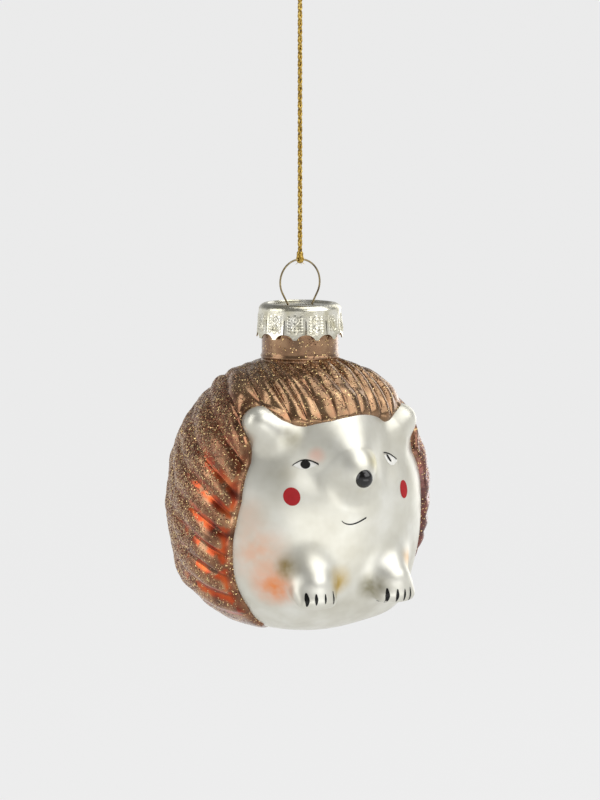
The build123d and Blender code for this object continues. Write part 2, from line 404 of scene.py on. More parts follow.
def reshape(piece, places):
    """Moves every point of a piece's mesh."""
    piece.data.vertices.foreach_set("co", np.asarray(places, float).ravel())
    piece.data.update()


def close_up(piece, gap):
    """Merges the points that have come together, and points every face outwards."""
    select_only(piece)
    bpy.ops.object.mode_set(mode="EDIT")
    bpy.ops.mesh.select_all(action="SELECT")
    bpy.ops.mesh.remove_doubles(threshold=gap)
    bpy.ops.mesh.normals_make_consistent(inside=False)
    bpy.ops.object.mode_set(mode="OBJECT")


def drop_faces(piece, unwanted):
    """Deletes the faces for which a test on their middle is true."""
    select_only(piece)
    middles = np.empty(len(piece.data.polygons) * 3)
    piece.data.polygons.foreach_get("center", middles)
    chosen = unwanted(middles.reshape(-1, 3))
    for kind in (piece.data.vertices, piece.data.edges):
        kind.foreach_set("select", np.zeros(len(kind), bool))
    piece.data.polygons.foreach_set("select", chosen)
    bpy.ops.object.mode_set(mode="EDIT")
    bpy.ops.mesh.select_mode(type="FACE")
    bpy.ops.mesh.delete(type="FACE")
    bpy.ops.mesh.select_mode(type="VERT")
    bpy.ops.object.mode_set(mode="OBJECT")


def give_body(piece, thickness, offset=-1):
    """Gives a sheet its thickness, inwards from the side that faces out unless told otherwise."""
    body = piece.modifiers.new("body", "SOLIDIFY")
    body.thickness = thickness
    body.offset = offset
    bpy.ops.object.modifier_apply(modifier=body.name)


def pressed_lattice(x, z):
    """Height of the relief on a panel: two stacked diamonds with a bead inside and beads beside them."""
    height = np.zeros_like(x)
    for centre in (-3.0, -4.9):
        diamond = np.abs(np.abs(x) / 0.95 + np.abs(z - centre) / 0.95 - 1)
        height += np.exp(-((diamond / 0.2) ** 2))
        height += np.exp(-((x / 0.28) ** 2) - ((z - centre) / 0.28) ** 2)
        for side in (-1.45, 1.45):
            for rise in (-0.62, 0.0, 0.62):
                height += 0.9 * np.exp(-(((x - side) / 0.24) ** 2) - ((z - centre - rise) / 0.2) ** 2)
    return np.minimum(height, 1.1)


def make_cap():
    """The cap as one thin sheet, from the middle of its top over the rim and down the skirt."""
    top_rows = 16
    columns = panel_count * panel_columns
    cup, column, row = sheet_grid("stamped_cap", columns, top_rows + skirt_rows)
    panel_turn = 2 * math.pi / panel_count
    slit_turn = slit_width / cap_rim_radius
    within = (column % panel_columns) / (panel_columns - 1)
    turn = (column // panel_columns) * panel_turn + slit_turn / 2 + within * (panel_turn - slit_turn)
    turn += first_slit
    across = (within - 0.5) * panel_turn * (cap_rim_radius + cap_flare) / mm

    steps, radii, levels = np.array([
        (0, 0, -recess_depth),
        (6, recess_radius - rim_round, -recess_depth),
        (7, recess_radius, -recess_depth + rim_round * 0.6),
        (8, recess_radius + rim_round * 0.3, -rim_round),
        (10, recess_radius + rim_round, 0),
        (13, cap_rim_radius - shoulder_round, -rim_round * 0.2),
        (14.5, cap_rim_radius - shoulder_round * 0.35, -rim_round * 1.1),
        (16, cap_rim_radius, -shoulder_round),
    ]).T
    radius = np.interp(row, steps, radii)
    level = np.interp(row, steps, levels)

    edge = np.abs(across) - panel_turn * cap_rim_radius / mm / 2
    bite = np.sqrt(np.maximum((scallop_radius / mm) ** 2 - edge ** 2, 0))
    bite -= (scallop_radius - scallop_height) / mm
    foot = -cap_height + np.maximum(bite, 0) * mm
    down = np.clip((row - top_rows) / skirt_rows, 0, 1)
    skirt = row > top_rows
    skirt_level = -shoulder_round + (foot + shoulder_round) * down
    fall = -skirt_level / cap_height
    flat_panel = np.cos(panel_turn * 0.5) / np.cos(panel_turn * (within - 0.5))
    dent = 0.10 * np.sin(3 * turn + 1.1) + 0.07 * np.sin(7 * turn + 8 * fall)
    dent += 0.05 * np.sin(13 * turn - 5 * fall)
    skirt_radius = cap_rim_radius + cap_flare * fall ** 1.5 + dent * mm * fall
    skirt_radius -= (1 - flat_panel) * 0.45 * cap_rim_radius * np.minimum(fall * 2.5, 1)
    relief = 0.18 * mm * pressed_lattice(across, skirt_level / mm)
    relief = relief * np.clip((skirt_level - foot) / (0.6 * mm), 0, 1)
    skirt_radius += relief * np.clip((fall - 0.15) / 0.12, 0, 1)
    radius = np.where(skirt, skirt_radius, radius)
    level = np.where(skirt, skirt_level, level)
    level = level + np.where(row < 6, 0.05 * mm * np.sin(5 * turn) * radius / recess_radius, 0)
    reshape(cup, np.stack([radius * np.cos(turn), radius * np.sin(turn), cap_top + level], axis=1))
    return cup


cap = make_cap()
close_up(cap, 0.002 * mm)
slit_top = cap_top - cap_height + slit_height
panel_step = 2 * math.pi / panel_count


def in_slit(middles):
    turn = np.arctan2(middles[:, 1], middles[:, 0]) - first_slit
    off = np.abs((turn + panel_step / 2) % panel_step - panel_step / 2) * cap_rim_radius
    return (off < slit_width * 0.6) & (middles[:, 2] < slit_top)


drop_faces(cap, in_slit)
give_body(cap, cap_sheet)

slot_length = 7.2 * mm
slot_width = 1.4 * mm
slot_place = (0, 0, cap_top - recess_depth)
punch_height = 2 * mm
bpy.ops.mesh.primitive_cube_add(size=1, location=slot_place, scale=(slot_length, slot_width, punch_height))
punch = bpy.context.object
bpy.ops.object.transform_apply(location=True, scale=True)
select_only(cap)
slot = cap.modifiers.new("slot", "BOOLEAN")
slot.operation = "DIFFERENCE"
slot.object = punch
bpy.ops.object.modifier_apply(modifier=slot.name)
bpy.data.objects.remove(punch)
bpy.ops.object.shade_smooth_by_angle(angle=math.radians(40))


def stamped_aluminium():
    """Thin anodised aluminium, champagne silver, stamped and handled: satin with small creases."""
    material, tree = new_material("champagne_anodised_aluminium")
    place = put(tree, "TexCoord").outputs["Object"]
    cloud = put(tree, "TexNoise", {"Vector": place, "Scale": 1 / (3 * mm), "Detail": 4.0})
    tone = put(tree, "ValToRGB", {0: cloud}, [(0.3, "#C2BC9F"), (0.5, "#D8D4C2"), (0.7, "#ECEAE0")])
    creases = put(tree, "TexNoise", {"Vector": place, "Scale": 1 / (0.7 * mm), "Detail": 3.0})
    bump = put(tree, "Bump", {"Height": creases, "Distance": 0.08 * mm, "Strength": 0.8})
    rough = put(tree, "MapRange", {"Value": cloud, "To Min": 0.18, "To Max": 0.36})
    shader = put(tree, "BsdfPrincipled", {
        "Base Color": tone, "Metallic": 1.0, "Roughness": rough, "Normal": bump,
    })
    put(tree, "OutputMaterial", {"Surface": shader})
    return material


cap.data.materials.append(stamped_aluminium())
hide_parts("cap")
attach(cap, "cap")

# Glass body
# Blown in a mould from one bubble of glass, silvered inside and lacquered a matt pearl outside.
# Face, ears, snout and forelegs are raised in the glass, and the neck is open for the wire.
half_width = 27.6
front_depth = 24.2
back_depth = 29.4
lower_height = 29.6
upper_front_fullness = 2.0
upper_back_fullness = 2.15
lower_front_fullness = 3.3
lower_side_fullness = 2.8
lower_back_fullness = 2.4
neck_radius = 8.3
glass_wall = 0.9
neck_flare = 0.6
shell_columns = 320
outer_rows = 200
inner_rows = 34
snout = ((0, -18.0, 4.2), (0, -25.2, 5.5), 7.2, 1.4)
bridge = ((0, -13.0, 14.0), (0, -22.6, 8.0), 9.4, 4.2)
ear_levels = {-1: 17.3, 1: 15.9}
paw_x = 9.8
toe_offsets = (-3.2, -1.1, 1.1, 3.2)
eye_hollow = ((9.2, -21.0, 7.0), 5.0, -0.9)
temple = ((19.0, -14.5, 10.0), 4.5, -0.5)
jowl = ((14.5, -19.0, -1.5), 7.0, 0.7)
haunch = ((16.5, -13.5, -24.5), 6.5, 1.6)
seat = ((0, -2.0, -29.6), 11.0, 0.9)


def level_share(z, upper_fullness, lower_fullness):
    """How wide the body is at each height, as a share of its widest."""
    up = (1 - np.clip(z / upper_height, 0, 1) ** upper_fullness) ** (1 / upper_fullness)
    down = (1 - np.clip(-z / lower_height, 0, 1) ** lower_fullness) ** (1 / lower_fullness)
    return np.maximum(np.where(z > 0, up, down), 0.0001)


def smooth_reach(direction):
    """How far the plain body reaches from its centre along each unit direction, in millimetres."""
    near = np.zeros(len(direction))
    far = np.full(len(direction), 60.0)
    for _ in range(34):
        middle = (near + far) / 2
        x, y, z = (direction * middle[:, None]).T
        across = half_width * level_share(z, upper_front_fullness, lower_side_fullness)
        front = front_depth * level_share(z, upper_front_fullness, lower_front_fullness)
        back = back_depth * level_share(z, upper_back_fullness, lower_back_fullness)
        inside = np.hypot(x / across, y / np.where(y < 0, front, back)) < 1
        inside &= (z < upper_height) & (z > -lower_height)
        near = np.where(inside, middle, near)
        far = np.where(inside, far, middle)
    return near


def soft_union(a, b, k):
    """The smaller of two distances, with the join between the two forms rounded."""
    h = np.maximum(k - np.abs(a - b), 0) / k
    return np.minimum(a, b) - h * h * k / 4


def limb(points, start, end, start_radius, end_radius):
    """Distance from a rounded limb that tapers from one ball to another."""
    start = np.array(start, float)
    line = np.array(end, float) - start
    share = np.clip((points - start) @ line / (line @ line), 0, 1)
    radius = start_radius + (end_radius - start_radius) * share
    return np.linalg.norm(points - start - share[:, None] * line, axis=1) - radius


def glass_distance(points, plain, reach):
    """Distance from the moulded glass: the plain body with its snout, brow, ears and forelegs."""
    distance = reach - plain
    distance = soft_union(distance, limb(points, *snout), 4.0)
    distance = soft_union(distance, limb(points, *bridge), 6.0)
    for side, ear_z in ear_levels.items():
        ear = limb(points, (side * 14.6, -13.8, ear_z - 1.8), (side * 17.7, -13.4, ear_z), 4.2, 3.5)
        foreleg = limb(points, (side * 10.3, -19.0, -14.6), (side * paw_x, -22.2, -17.8), 4.3, 4.5)
        distance = soft_union(soft_union(distance, ear, 3.6), foreleg, 4.6)
        for toe in toe_offsets:
            knuckle = (side * paw_x + toe, -22.8, -19.0)
            tip = (side * paw_x + toe, -25.3 + abs(toe) * 0.3, -20.6)
            distance = soft_union(distance, limb(points, knuckle, tip, 1.6, 1.5), 1.8)
    return distance


def moulded_reach(direction):
    """How far the moulded glass reaches from the body's centre along each direction."""
    plain = smooth_reach(direction)
    points = direction * plain[:, None]
    pairs = [
        ((side * x, y, z), spread, height)
        for side in (-1, 1) for (x, y, z), spread, height in (eye_hollow, temple, jowl)
    ]
    for middle, spread, height in [*pairs, haunch, seat]:
        apart = np.linalg.norm(points - np.array(middle), axis=1)
        plain = plain + height * np.exp(-((apart / spread) ** 2))
    near = plain.copy()
    far = plain + 10.0
    for _ in range(22):
        middle = (near + far) / 2
        inside = glass_distance(direction * middle[:, None], plain, middle) < 0
        near = np.where(inside, middle, near)
        far = np.where(inside, far, middle)
    return near


def make_shell():
    """The bubble as a vase: up the outside, over the lip of the neck, and down the inside."""
    neck_steps = 12
    lip_rows = 4
    rows = outer_rows + neck_steps + lip_rows + neck_steps + inner_rows
    shell, column, row = sheet_grid("glass_shell", shell_columns, rows)
    around = 2 * math.pi * column / shell_columns
    around = around - 0.35 * np.sin(around)
    sideways = np.stack([-np.sin(around), -np.cos(around), np.zeros_like(around)], axis=1)

    shoulder = math.asin((neck_radius + neck_flare) / smooth_reach(np.array([[0, 0.3, 0.954]]))[0])
    fall = math.pi - (math.pi - shoulder) * np.clip(row / outer_rows, 0, 1)
    direction = sideways * np.sin(fall)[:, None] + np.array((0, 0, 1.0)) * np.cos(fall)[:, None]
    places = direction * moulded_reach(direction)[:, None]

    foot_radius = np.hypot(places[:, 0], places[:, 1])[row == outer_rows].mean()
    foot_level = places[row == outer_rows, 2].mean()
    neck_height = upper_height + neck_rise / mm
    bore = neck_radius - glass_wall
    up = np.clip((row - outer_rows) / neck_steps, 0, 1)
    flare = (foot_radius - neck_radius) * (1 - np.minimum(up * 5, 1)) ** 2
    radius = neck_radius + flare
    level = foot_level + (neck_height - glass_wall / 2 - foot_level) * up ** 1.15
    lip = (row - outer_rows - neck_steps) / lip_rows * math.pi
    on_lip = (lip > 0) & (lip <= math.pi + 0.01)
    radius = np.where(on_lip, neck_radius - glass_wall / 2 + glass_wall / 2 * np.cos(lip), radius)
    level = np.where(on_lip, neck_height - glass_wall / 2 + glass_wall / 2 * np.sin(lip), level)
    down = np.clip((row - outer_rows - neck_steps - lip_rows) / neck_steps, 0, 1)
    inside = row > outer_rows + neck_steps + lip_rows
    bore_foot = upper_height - 3.0
    radius = np.where(inside, bore, radius)
    level = np.where(inside, neck_height - glass_wall / 2 + (bore_foot - neck_height) * down, level)
    neck = np.stack([-np.sin(around) * radius, -np.cos(around) * radius, level], axis=1)
    places = np.where((row > outer_rows)[:, None], neck, places)

    deep = np.clip((row - outer_rows - 2 * neck_steps - lip_rows) / inner_rows, 0, 1)
    opening = math.asin(bore / bore_foot)
    inner_fall = opening + (math.pi - opening) * deep
    inner = sideways * np.sin(inner_fall)[:, None] + np.array((0, 0, 1.0)) * np.cos(inner_fall)[:, None]
    hollow = inner * (smooth_reach(inner) - glass_wall)[:, None]
    places = np.where((deep > 0)[:, None], hollow, places)
    reshape(shell, places * mm + np.array(body_centre))
    return shell


shell = make_shell()
close_up(shell, 0.004 * mm)
bpy.ops.object.shade_smooth()


def pearl_lacquer():
    """Satin pearl lacquer over silvered glass: a soft metallic glow, with warm tint blown on by hand, and
    patches of painted reflection and painted shade.
    """
    material, tree = new_material("satin_pearl_lacquer_on_silvered_glass")
    place = put(tree, "TexCoord").outputs["Object"]
    cloud = put(tree, "TexNoise", {"Vector": place, "Scale": 1 / (9 * mm), "Detail": 3.0, "Roughness": 0.55})
    tone = put(tree, "ValToRGB", {0: cloud}, [(0.3, "#D0CDBF"), (0.5, "#DCDACE"), (0.7, "#E8E7DE")])
    # Patches of colour round given points, partly tint blown on with the lacquer and partly painted light:
    # the orange, peach, pink and yellow ones are painted reflections of warm light, the dark olive and grey
    # ones painted shade.
    airbrush_and_painted_light = [
        ((-17.2, -18.0, -18.4), 7.0, "#F08E46", 1.0),
        ((-20.6, -17.0, -11.0), 9.5, "#EEB692", 0.75),
        ((-21.5, -14.5, -2.0), 6.5, "#E2C2AC", 0.55),
        ((-12.8, -17.8, 14.2), 5.6, "#A6A089", 0.8),
        ((-15.0, -18.6, 7.0), 5.0, "#BDB8A4", 0.6),
        ((-8.8, -22.4, 10.6), 2.8, "#F2A286", 0.9),
        ((-15.0, -20.6, -13.4), 4.0, "#86702E", 1.0),
        ((-4.2, -23.8, -17.0), 4.6, "#CCA83C", 1.0),
        ((4.8, -23.6, -18.8), 4.8, "#766C3C", 1.0),
        ((14.4, -21.4, -14.6), 4.4, "#CC9632", 1.0),
        ((3.2, -25.6, 9.0), 3.4, "#C2B46A", 0.7),
    ]
    wisp = put(tree, "TexNoise", {"Vector": place, "Scale": 1 / (3 * mm), "Detail": 2.0})
    for centre, radius, code, strength in airbrush_and_painted_light:
        middle = [c * mm + b for c, b in zip(centre, body_centre)]
        apart = put(tree, "VectorMath", {0: place, 1: middle}, operation="DISTANCE").outputs["Value"]
        spray_and_painted_light = put(tree, "MapRange", {
            "Value": apart, "From Max": radius * mm, "To Min": strength, "To Max": 0.0,
        }, interpolation_type="SMOOTHSTEP")
        uneven = put(tree, "Math", {0: wisp, 1: 1.6}, operation="MULTIPLY", use_clamp=True)
        share = put(tree, "Math", {0: spray_and_painted_light, 1: uneven}, operation="MULTIPLY")
        tone = put(tree, "Mix", {0: share, 6: tone, 7: linear(code)}, data_type="RGBA").outputs[2]
    pits = put(tree, "TexNoise", {"Vector": place, "Scale": 1 / (0.5 * mm), "Detail": 2.0})
    bump = put(tree, "Bump", {"Height": pits, "Distance": 0.02 * mm, "Strength": 0.25})
    shader = put(tree, "BsdfPrincipled", {
        "Base Color": tone, "Metallic": 0.7, "Roughness": 0.4, "Normal": bump,
        "Coat Weight": 0.1, "Coat Roughness": 0.35,
    })
    put(tree, "OutputMaterial", {"Surface": shader})
    return material


shell.data.materials.append(pearl_lacquer())
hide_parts("glass_body")
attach(shell, "glass")

# Coat of spines
# The same glass, raised in long rounded ridges that fan out backwards from between the forelegs.
# Copper lacquer lies over the silvering, orange-red in the grooves partly from the lacquer and partly as
# painted reflection, and glitter was shaken on before it dried.
coat_depth = 1.3
ridge_height = 0.9
fan_tilt = math.radians(32)
brow_ridges = 10
brow_half_angle = 34.0
flank_edges = [34, 45, 56.7, 68.5, 78, 88.2, 97.6, 107.5, 117.5, 130]
ridge_columns = 12
belly_columns = 50
coat_rows = 124
fan_axis = np.array((0, -math.cos(fan_tilt), -math.sin(fan_tilt)))
fan_up = np.array((0, -math.sin(fan_tilt), math.cos(fan_tilt)))
fan_side = np.array((1.0, 0.0, 0.0))
# How high the ridges stand along their length, as a share, at angles past the hem
brow_fade = ((0, 2, 4, 7, 14, 25, 36, 55), (0.3, 0.5, 0.8, 1.0, 1.0, 0.85, 0.4, 0.0))
flank_fade = ((0, 2, 4, 7, 12, 30, 50, 75, 120), (0.15, 0.3, 0.65, 0.95, 1.0, 0.9, 0.6, 0.3, 0.0))
# Points of the hem, from the body's centre: over the brow, down the right side and down the left
hem = [
    (-15.8, -16.0, 19.3), (-14.1, -17.4, 17.8), (-11.4, -18.3, 16.8), (-9.5, -18.5, 16.3),
    (-6.6, -19.6, 16.8), (-4.1, -20.7, 17.3), (-1.2, -21.1, 17.9), (0.5, -21.2, 18.2),
    (3.9, -20.3, 18.2), (6.7, -19.1, 17.7), (9.1, -18.3, 17.1), (10.6, -18.5, 16.4),
    (12.4, -18.3, 16.8), (14.2, -17.2, 17.9), (16.9, -14.7, 19.1),
    (-16.6, -14.1, 20.6), (-17.2, -11.6, 21.0), (-18.2, -10.3, 20.8), (-19.2, -9.6, 20.0),
    (-20.0, -9.4, 18.5), (-20.6, -10.2, 16.9), (-20.9, -12.6, 15.4), (-20.3, -13.1, 14.1),
    (-19.7, -13.5, 11.8), (-20.2, -14.1, 9.0), (-21.6, -14.1, 5.7), (-22.6, -14.1, 0.4),
    (-23.2, -13.0, -4.3), (-23.5, -12.1, -8.1), (-23.3, -11.6, -11.5), (-22.5, -10.9, -16.3),
    (-20.8, -10.5, -20.2), (-18.4, -9.9, -23.4), (-12.8, -6.8, -27.7), (-6.5, 1.0, -29.3),
    (0.0, 5.0, -29.4),
    (18.3, -12.2, 19.6), (19.5, -10.6, 18.6), (20.6, -10.4, 16.6), (21.0, -11.6, 14.4),
    (20.6, -12.6, 12.0), (20.2, -14.1, 9.0), (21.6, -14.1, 5.7), (22.6, -14.1, 0.4),
    (23.4, -12.6, -4.3), (23.9, -10.8, -8.1), (24.2, -8.2, -11.5), (23.6, -5.0, -16.3),
    (21.8, -3.0, -20.2), (19.5, -1.5, -23.4), (13.0, 1.5, -27.7), (6.5, 4.0, -29.3),
]


def fan_angles(points):
    """Turn round the fan's axis and angle away from it, in degrees, of points about the body's centre."""
    along = points @ fan_axis
    up = points @ fan_up
    side = points @ fan_side
    return np.degrees(np.arctan2(side, up)), np.degrees(np.arctan2(np.hypot(up, side), along))


def hem_angle(turn):
    """Where the coat begins at each turn round the fan's axis."""
    turns, falls = fan_angles(np.array(hem))
    order = np.argsort(turns)
    turns, falls = turns[order], falls[order]
    fine = np.linspace(-180, 180, 721)
    line = np.interp(fine, turns, falls, period=360)
    weights = np.exp(-np.linspace(-2, 2, 7) ** 2)
    line = np.convolve(np.pad(line, 3, mode="wrap"), weights / weights.sum(), mode="valid")
    return np.interp(turn, fine, line)


def ridge_turns():
    """The turn of each column of the coat, and how far that column is across its ridge."""
    flank = list(np.diff(flank_edges))
    belly = [2 * (180 - flank_edges[-1]) / belly_columns] * belly_columns
    turns, across, start = [], [], -brow_half_angle
    runs = [(2 * brow_half_angle / brow_ridges, ridge_columns)] * brow_ridges
    runs += [(width, ridge_columns) for width in flank] + [(width, 1) for width in belly]
    runs += [(width, ridge_columns) for width in reversed(flank)]
    for width, columns in runs:
        turns += [start + width * i / columns for i in range(columns)]
        across += [i / columns for i in range(columns)]
        start += width
    return np.array(turns + [turns[0] + 360]), np.array(across + [0.0])


def wander(turn, fall, seed):
    """A slow irregular wave over the coat, between about -1 and 1."""
    a, b = np.radians(turn), np.radians(fall)
    wave = np.sin(5 * a + 3.1 * b + seed) + np.sin(9 * a - 4.3 * b + 2.1 * seed)
    return (wave + np.sin(3 * a + 7.7 * b - seed)) / 3


def keep_values(piece, values):
    """Stores named values at the points of a piece, for its material to read."""
    for name, value in values.items():
        attribute = piece.data.attributes.new(name, "FLOAT", "POINT")
        attribute.data.foreach_set("value", np.full(len(piece.data.vertices), value, np.float32))


def make_coat():
    """The coat as a sheet rolled round the fan's axis, from its hem over the crown to the back."""
    turns, acrosses = ridge_turns()
    coat, column, row = sheet_grid("spine_coat", len(turns) - 1, coat_rows)
    turn = turns[column]
    across = acrosses[column]
    folded = (turn + 180) % 360 - 180
    start = hem_angle(folded)
    share = np.clip((row - 5) / (coat_rows - 5), 0, 1) ** 1.08
    lip = np.array([0.0, 0.02, 0.15, 0.45, 0.9, 1.4])
    lip_step = np.degrees(np.interp(row, range(6), lip) / half_width)
    fall = start + lip_step + (180 - start - lip_step) * share
    past = fall - start
    aside = np.abs(folded)
    spread = np.tanh((aside - 76) / 20) * np.clip((aside - 12) / 20, 0, 1)
    spread *= np.clip((150 - aside) / 30, 0, 1)
    sway = np.sign(folded) * spread * 0.13 * np.clip(past, 0, 40)
    sway += np.sin(np.radians(fall * 6)) * np.clip(past / 30, 0, 1)
    swung = np.radians(turn + sway)
    outwards = fan_up * np.cos(swung)[:, None] + fan_side * np.sin(swung)[:, None]
    leant = np.radians(fall)[:, None]
    direction = fan_axis * np.cos(leant) + outwards * np.sin(leant)
    rise = np.interp(row, range(6), [-0.8, 0.0, 0.45, 0.78, 0.95, 1.0])

    brow = np.clip((46 - aside) / 12, 0, 1)
    under = np.clip((aside - 132) / 30, 0, 1)
    ridged = aside < flank_edges[-1] + 1
    fade = np.interp(past, *brow_fade) * brow + np.interp(past, *flank_fade) * (1 - brow)
    uneven = 0.25 * wander(np.round(folded / 8) * 8, fall, 1.0) * (1 - brow)
    height = ridge_height * (1 + 0.6 * brow + uneven)
    crest = np.where(ridged, np.abs(np.sin(math.pi * across)) ** (0.9 - 0.2 * brow), 0)
    lumps = 0.30 * wander(folded * 2, fall * 1.6, 4.0) + 0.18 * wander(folded * 4, fall * 3.9, 2.0) - 0.3
    speckle = np.random.default_rng(3).uniform(-0.06, 0.06, (coat_rows + 1, len(turns)))
    speckle[:, -1] = speckle[:, 0]
    lumps += speckle[row, column] * np.clip((past - 12) / 14, 0, 1)
    lumps *= np.clip(past / 30, 0, 1) * np.clip((180 - fall) / 12, 0, 1)
    thickness = coat_depth * (1 - 0.7 * under) + crest * height * fade + lumps

    plain = smooth_reach(direction)
    reach = moulded_reach(direction)
    thin = np.clip(1 - np.clip(reach - plain, 0, None) / 2.0, 0.25, 1)
    reach = reach + thickness * thin * np.where(rise > 0, rise, 0) + np.where(rise < 0, rise, 0)
    places = direction * reach[:, None]
    reshape(coat, places * mm + np.array(body_centre))

    # On the far flank the glitter reaches nearer to the hem, over a cooler brown.
    keep_values(coat, {
        "crest": np.where(ridged, crest * np.clip(fade * 1.2, 0, 1), 1.0),
        "past_hem": past + np.where(folded > 40, 10, 0),
        "brow": brow,
        # The orange share is partly the lacquer's colour and partly painted reflection of warm light, full on
        # the near flank and weak on the far one.
        "orange": np.clip((aside - 50) / 22, 0.12, 1) * np.where(folded > 0, 0.2, 1.0),
        "mauve": np.clip((folded - 45) / 20, 0, 1),
    })
    return coat


coat = make_coat()
close_up(coat, 0.004 * mm)


def under_neck(middles):
    apart = middles - np.array(body_centre)
    return (np.hypot(apart[:, 0], apart[:, 1]) < (neck_radius - 0.35) * mm) & (apart[:, 2] > 0)


drop_faces(coat, under_neck)
give_body(coat, 0.35 * mm)
bpy.ops.object.shade_smooth()


def copper_glitter():
    """Copper lacquer over silvering, orange-red in the grooves partly as lacquer and partly as painted
    reflection, with painted shade at their bottoms, under a scatter of glitter flakes.

    The brow is more golden and the far flank a mauve brown, and a few flakes flash as bright sparks."""
    material, tree = new_material("copper_lacquer_with_glitter")
    place = put(tree, "TexCoord").outputs["Object"]
    crest, past, brow, orange_share, mauve = (
        put(tree, "Attribute", attribute_name=name).outputs["Fac"]
        for name in ("crest", "past_hem", "brow", "orange", "mauve")
    )

    cloud, streaks, patches = (
        put(tree, "TexNoise", {"Vector": place, "Scale": 1 / (size * mm), "Detail": detail})
        for size, detail in ((4, 3.0), (3, 2.0), (2.4, 3.0))
    )
    sockets = ("Value", "From Min", "From Max", "To Min", "To Max")
    groove, front, strong, brow_cover, flank_cover = (
        put(tree, "MapRange", dict(zip(sockets, values)), interpolation_type="SMOOTHSTEP")
        for values in (
            (crest, 0.45, 0.9, 1.0, 0.0),
            (past, 22.0, 46.0, 1.0, 0.0),
            (streaks, 0.36, 0.52, 0.0, 1.0),
            (past, 4.0, 40.0, 0.06, 0.62),
            (past, 4.0, 40.0, 0.12, 0.86),
        )
    )

    brown = put(tree, "ValToRGB", {0: cloud}, [(0.3, "#5E3E2C"), (0.5, "#8A6044"), (0.7, "#BC9470")])
    golden = put(tree, "Math", {0: brow, 1: 0.4}, operation="MULTIPLY")
    for share, code in ((golden, "#9C8462"), (mauve, "#6E4C4A")):
        brown = put(tree, "Mix", {0: share, 6: brown, 7: linear(code)}, data_type="RGBA").outputs[2]
    orange = put(tree, "ValToRGB", {0: cloud}, [(0.3, "#84280E"), (0.5, "#BC4A1C"), (0.7, "#D66C30")])
    edge = put(tree, "MapRange", {"Value": past, "From Min": 0.5, "From Max": 2.5})
    # Orange in the grooves near the hem: partly the lacquer's own colour, partly painted reflection of warm
    # light between the copper ridges.
    orange_lacquer_and_reflection = groove
    for share in (front, edge, orange_share, strong):
        orange_lacquer_and_reflection = put(tree, "Math", {0: orange_lacquer_and_reflection, 1: share}, operation="MULTIPLY")
    # Painted shade: the bottoms of the grooves are darkened towards deep brown.
    groove_shade = put(tree, "MapRange", {"Value": crest, "From Max": 0.25, "To Min": 0.6, "To Max": 0.0})
    tone = put(tree, "Mix", {0: orange_lacquer_and_reflection, 6: brown, 7: orange}, data_type="RGBA").outputs[2]
    tone = put(tree, "Mix", {0: groove_shade, 6: tone, 7: linear("#3A2014")}, data_type="RGBA").outputs[2]
    lacquer = put(tree, "BsdfPrincipled", {
        "Base Color": tone, "Metallic": 0.92, "Roughness": 0.23, "Coat Weight": 0.3, "Coat Roughness": 0.2,
    })

    flake_size = 0.25 * mm
    cells = put(tree, "TexVoronoi", {"Vector": place, "Scale": 1 / flake_size}).outputs["Color"]
    centred = put(tree, "VectorMath", {0: cells, 1: (0.5, 0.5, 0.5)}, operation="SUBTRACT")
    lean = put(tree, "VectorMath", {0: centred, "Scale": 1.7}, operation="SCALE")
    normal = put(tree, "NewGeometry").outputs["Normal"]
    turned = put(tree, "VectorMath", {0: normal, 1: lean}, operation="ADD")
    facet = put(tree, "VectorMath", {0: turned}, operation="NORMALIZE")
    pick = put(tree, "SeparateColor", {0: cells})
    flake_stops = [(0.0, "#4A2C20"), (0.5, "#8A5A44"), (0.8, "#C8946E"), (1.0, "#FFE6B4")]
    tone = put(tree, "ValToRGB", {0: pick.outputs["Green"]}, flake_stops)
    for share, amount, code in ((brow, 0.3, "#A08A6C"), (mauve, 0.7, "#86625E")):
        part = put(tree, "Math", {0: share, 1: amount}, operation="MULTIPLY")
        tone = put(tree, "Mix", {0: part, 6: tone, 7: linear(code)}, data_type="RGBA").outputs[2]
    glitter = put(tree, "BsdfPrincipled", {
        "Base Color": tone, "Metallic": 0.9, "Roughness": 0.26, "Normal": facet,
    })
    spark_size = 0.24 * mm
    sparks = put(tree, "TexVoronoi", {"Vector": place, "Scale": 1 / spark_size}).outputs["Color"]
    spark_pick = put(tree, "SeparateColor", {0: sparks})
    spark = put(tree, "BsdfPrincipled", {
        "Base Color": linear("#FFDFA0"), "Metallic": 0.8, "Roughness": 0.3, "Normal": facet,
    })

    thick = put(tree, "Mix", {0: brow, 2: flank_cover, 3: brow_cover})
    cleared = put(tree, "Math", {0: orange_lacquer_and_reflection, 1: 0.45}, operation="MULTIPLY")
    cover = put(tree, "Math", {0: thick, 1: cleared}, operation="SUBTRACT")
    swing = put(tree, "Math", {0: patches, 1: -0.5}, operation="ADD")
    swung = put(tree, "Math", {0: swing, 1: 0.9, 2: cover}, operation="MULTIPLY_ADD")
    stuck = put(tree, "Math", {0: pick, 1: swung}, operation="LESS_THAN")
    mixed = put(tree, "MixShader", {0: stuck, 1: lacquer, 2: glitter})
    spark_cover = put(tree, "Math", {0: cover, 1: 0.1, 2: 0.03}, operation="MULTIPLY_ADD")
    lit = put(tree, "Math", {0: spark_pick, 1: spark_cover}, operation="LESS_THAN")
    mixed = put(tree, "MixShader", {0: lit, 1: mixed, 2: spark})
    put(tree, "OutputMaterial", {"Surface": mixed})
    return material


coat.data.materials.append(copper_glitter())
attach(coat, "glass")

# Neck
# The bubble's neck carries the same copper lacquer and glitter, with a bead where it leaves the body.
# The cap sits over its top.
neck_rows = 40
neck_columns = 96


